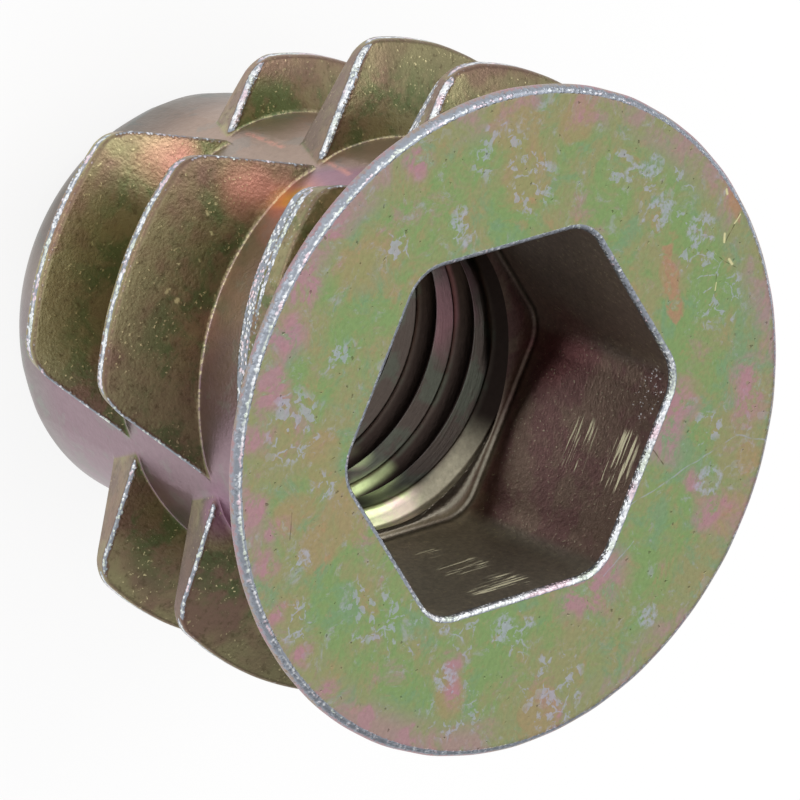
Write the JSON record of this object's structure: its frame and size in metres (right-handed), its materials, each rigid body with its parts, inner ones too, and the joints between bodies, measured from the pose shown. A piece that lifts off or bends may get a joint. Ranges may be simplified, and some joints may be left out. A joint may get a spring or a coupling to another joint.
{
  "type": "threaded insert",
  "caption": "Flanged threaded insert for wood: a die-cast bush with a hexagon socket, a through bore for a machine screw and a coarse wood thread in four lobes.",
  "frame": {"origin": "centre of the tip's end face, on the bore's axis", "axes": "+Z along the bore axis, from the tip to the flange; +X through the middle of one lobe of the wood thread and two corners of the hexagon socket"},
  "size_m": [0.0156, 0.0156, 0.0127],
  "materials": {
    "chromated_zinc": "yellow iridescent chromate on die-cast zinc, satin, scuffed"
  },
  "bodies": {
    "root": {"insert_body": "chromated_zinc"}
  },
  "joints": []
}
